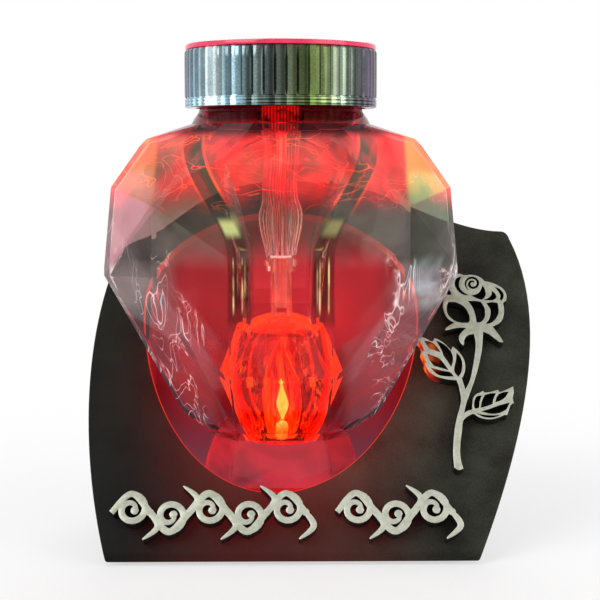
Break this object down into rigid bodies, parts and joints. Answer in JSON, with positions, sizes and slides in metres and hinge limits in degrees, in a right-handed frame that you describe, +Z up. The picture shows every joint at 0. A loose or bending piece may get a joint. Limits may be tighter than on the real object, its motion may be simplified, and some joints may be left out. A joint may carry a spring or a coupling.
{
  "type": "memorial sanctuary lamp",
  "caption": "Faceted glass jar lamp with a hanging electric flame and ribbed screw lid, seated in a dark leaning panel with a rose and scroll ornaments.",
  "frame": {"origin": "under the jar's axis, on the surface that the lamp stands on", "axes": "+Z up along the jar's axis, +X to the right seen from the front, +Y away from the front"},
  "size_m": [0.1929, 0.1065, 0.212],
  "materials": {
    "panel": "matt charcoal with a fine leather grain",
    "board": "matt black painted board",
    "foam": "dense black foam",
    "ornament": "satin beige-silver face with black sides",
    "steel": "zinc-plated screws",
    "jar_glass": "clear faceted glass with a faint rose tint",
    "rubber": "soft gasket rubber",
    "lid_silver": "vacuum-metallised ribbed plastic",
    "red_plastic": "see-through red plastic",
    "dark_plastic": "moulded dark plastic",
    "clear_plastic": "clear moulded plastic",
    "cell": "plain sleeved battery cell",
    "brass": "bright brass spring strip",
    "circuit": "green circuit board",
    "wire": "red insulated wire",
    "globe_red": "clear red moulded globe, lit from inside",
    "flame": "frosted flame lens and emitter that glow when the lamp is on"
  },
  "bodies": {
    "stand_and_jar": {"front_panel": "panel", "rose_ornament": "ornament", "scroll_left": "ornament", "scroll_right": "ornament", "floor_plate": "board", "rear_panel": "board", "cheek_left": "board", "cheek_right": "board", "rest_pad": "foam", "rear_screw_1": "steel", "rear_screw_2": "steel", "rear_screw_3": "steel", "rear_screw_4": "steel", "floor_screw_1": "steel", "floor_screw_2": "steel", "floor_screw_3": "steel", "floor_screw_4": "steel", "foot_bedding": "foam", "foot_ring": "foam", "jar_glass": "jar_glass"},
    "gasket": {"neck_gasket": "rubber"},
    "lid_insert": {"lid_ring": "lid_silver", "battery_tray": "dark_plastic", "battery_cell_1": "cell", "battery_cell_2": "cell", "contact_bridge": "brass", "contact_plus": "brass", "contact_minus": "brass", "driver_board": "circuit", "driver_chip": "dark_plastic", "switch_housing": "dark_plastic", "stem_socket": "dark_plastic", "stem_upper": "clear_plastic", "stem_collar": "clear_plastic", "stem_contact": "brass", "wire_1": "wire", "wire_2": "wire"},
    "cap": {"lid_cap": "red_plastic"},
    "switch": {"switch_slider": "red_plastic"},
    "globe": {"stem_lower": "clear_plastic", "globe_shell": "globe_red", "globe_base": "red_plastic", "lamp_board": "circuit", "light_emitter": "flame", "flame_lens": "flame", "conductor_left": "brass", "conductor_right": "brass"}
  },
  "joints": [
    {"name": "insert_lift", "type": "slide", "parent": "stand_and_jar", "child": "gasket", "axis": [0, 0, 1], "range_m": [0, 0.17]},
    {"name": "insert_turn", "type": "hinge", "parent": "gasket", "child": "lid_insert", "pos_m": [0, 0, 0.1], "axis": [0, 0, 1], "continuous": true},
    {"name": "cap_lift", "type": "slide", "parent": "lid_insert", "child": "cap", "axis": [0, 0, 1], "range_m": [0, 0.03]},
    {"name": "switch_slide", "type": "slide", "parent": "lid_insert", "child": "switch", "axis": [1, 0, 0], "range_m": [0, 0.004]},
    {"name": "globe_twist", "type": "hinge", "parent": "lid_insert", "child": "globe", "pos_m": [0, 0, 0.07], "axis": [0, 0, 1], "range_deg": [0, 45]}
  ]
}
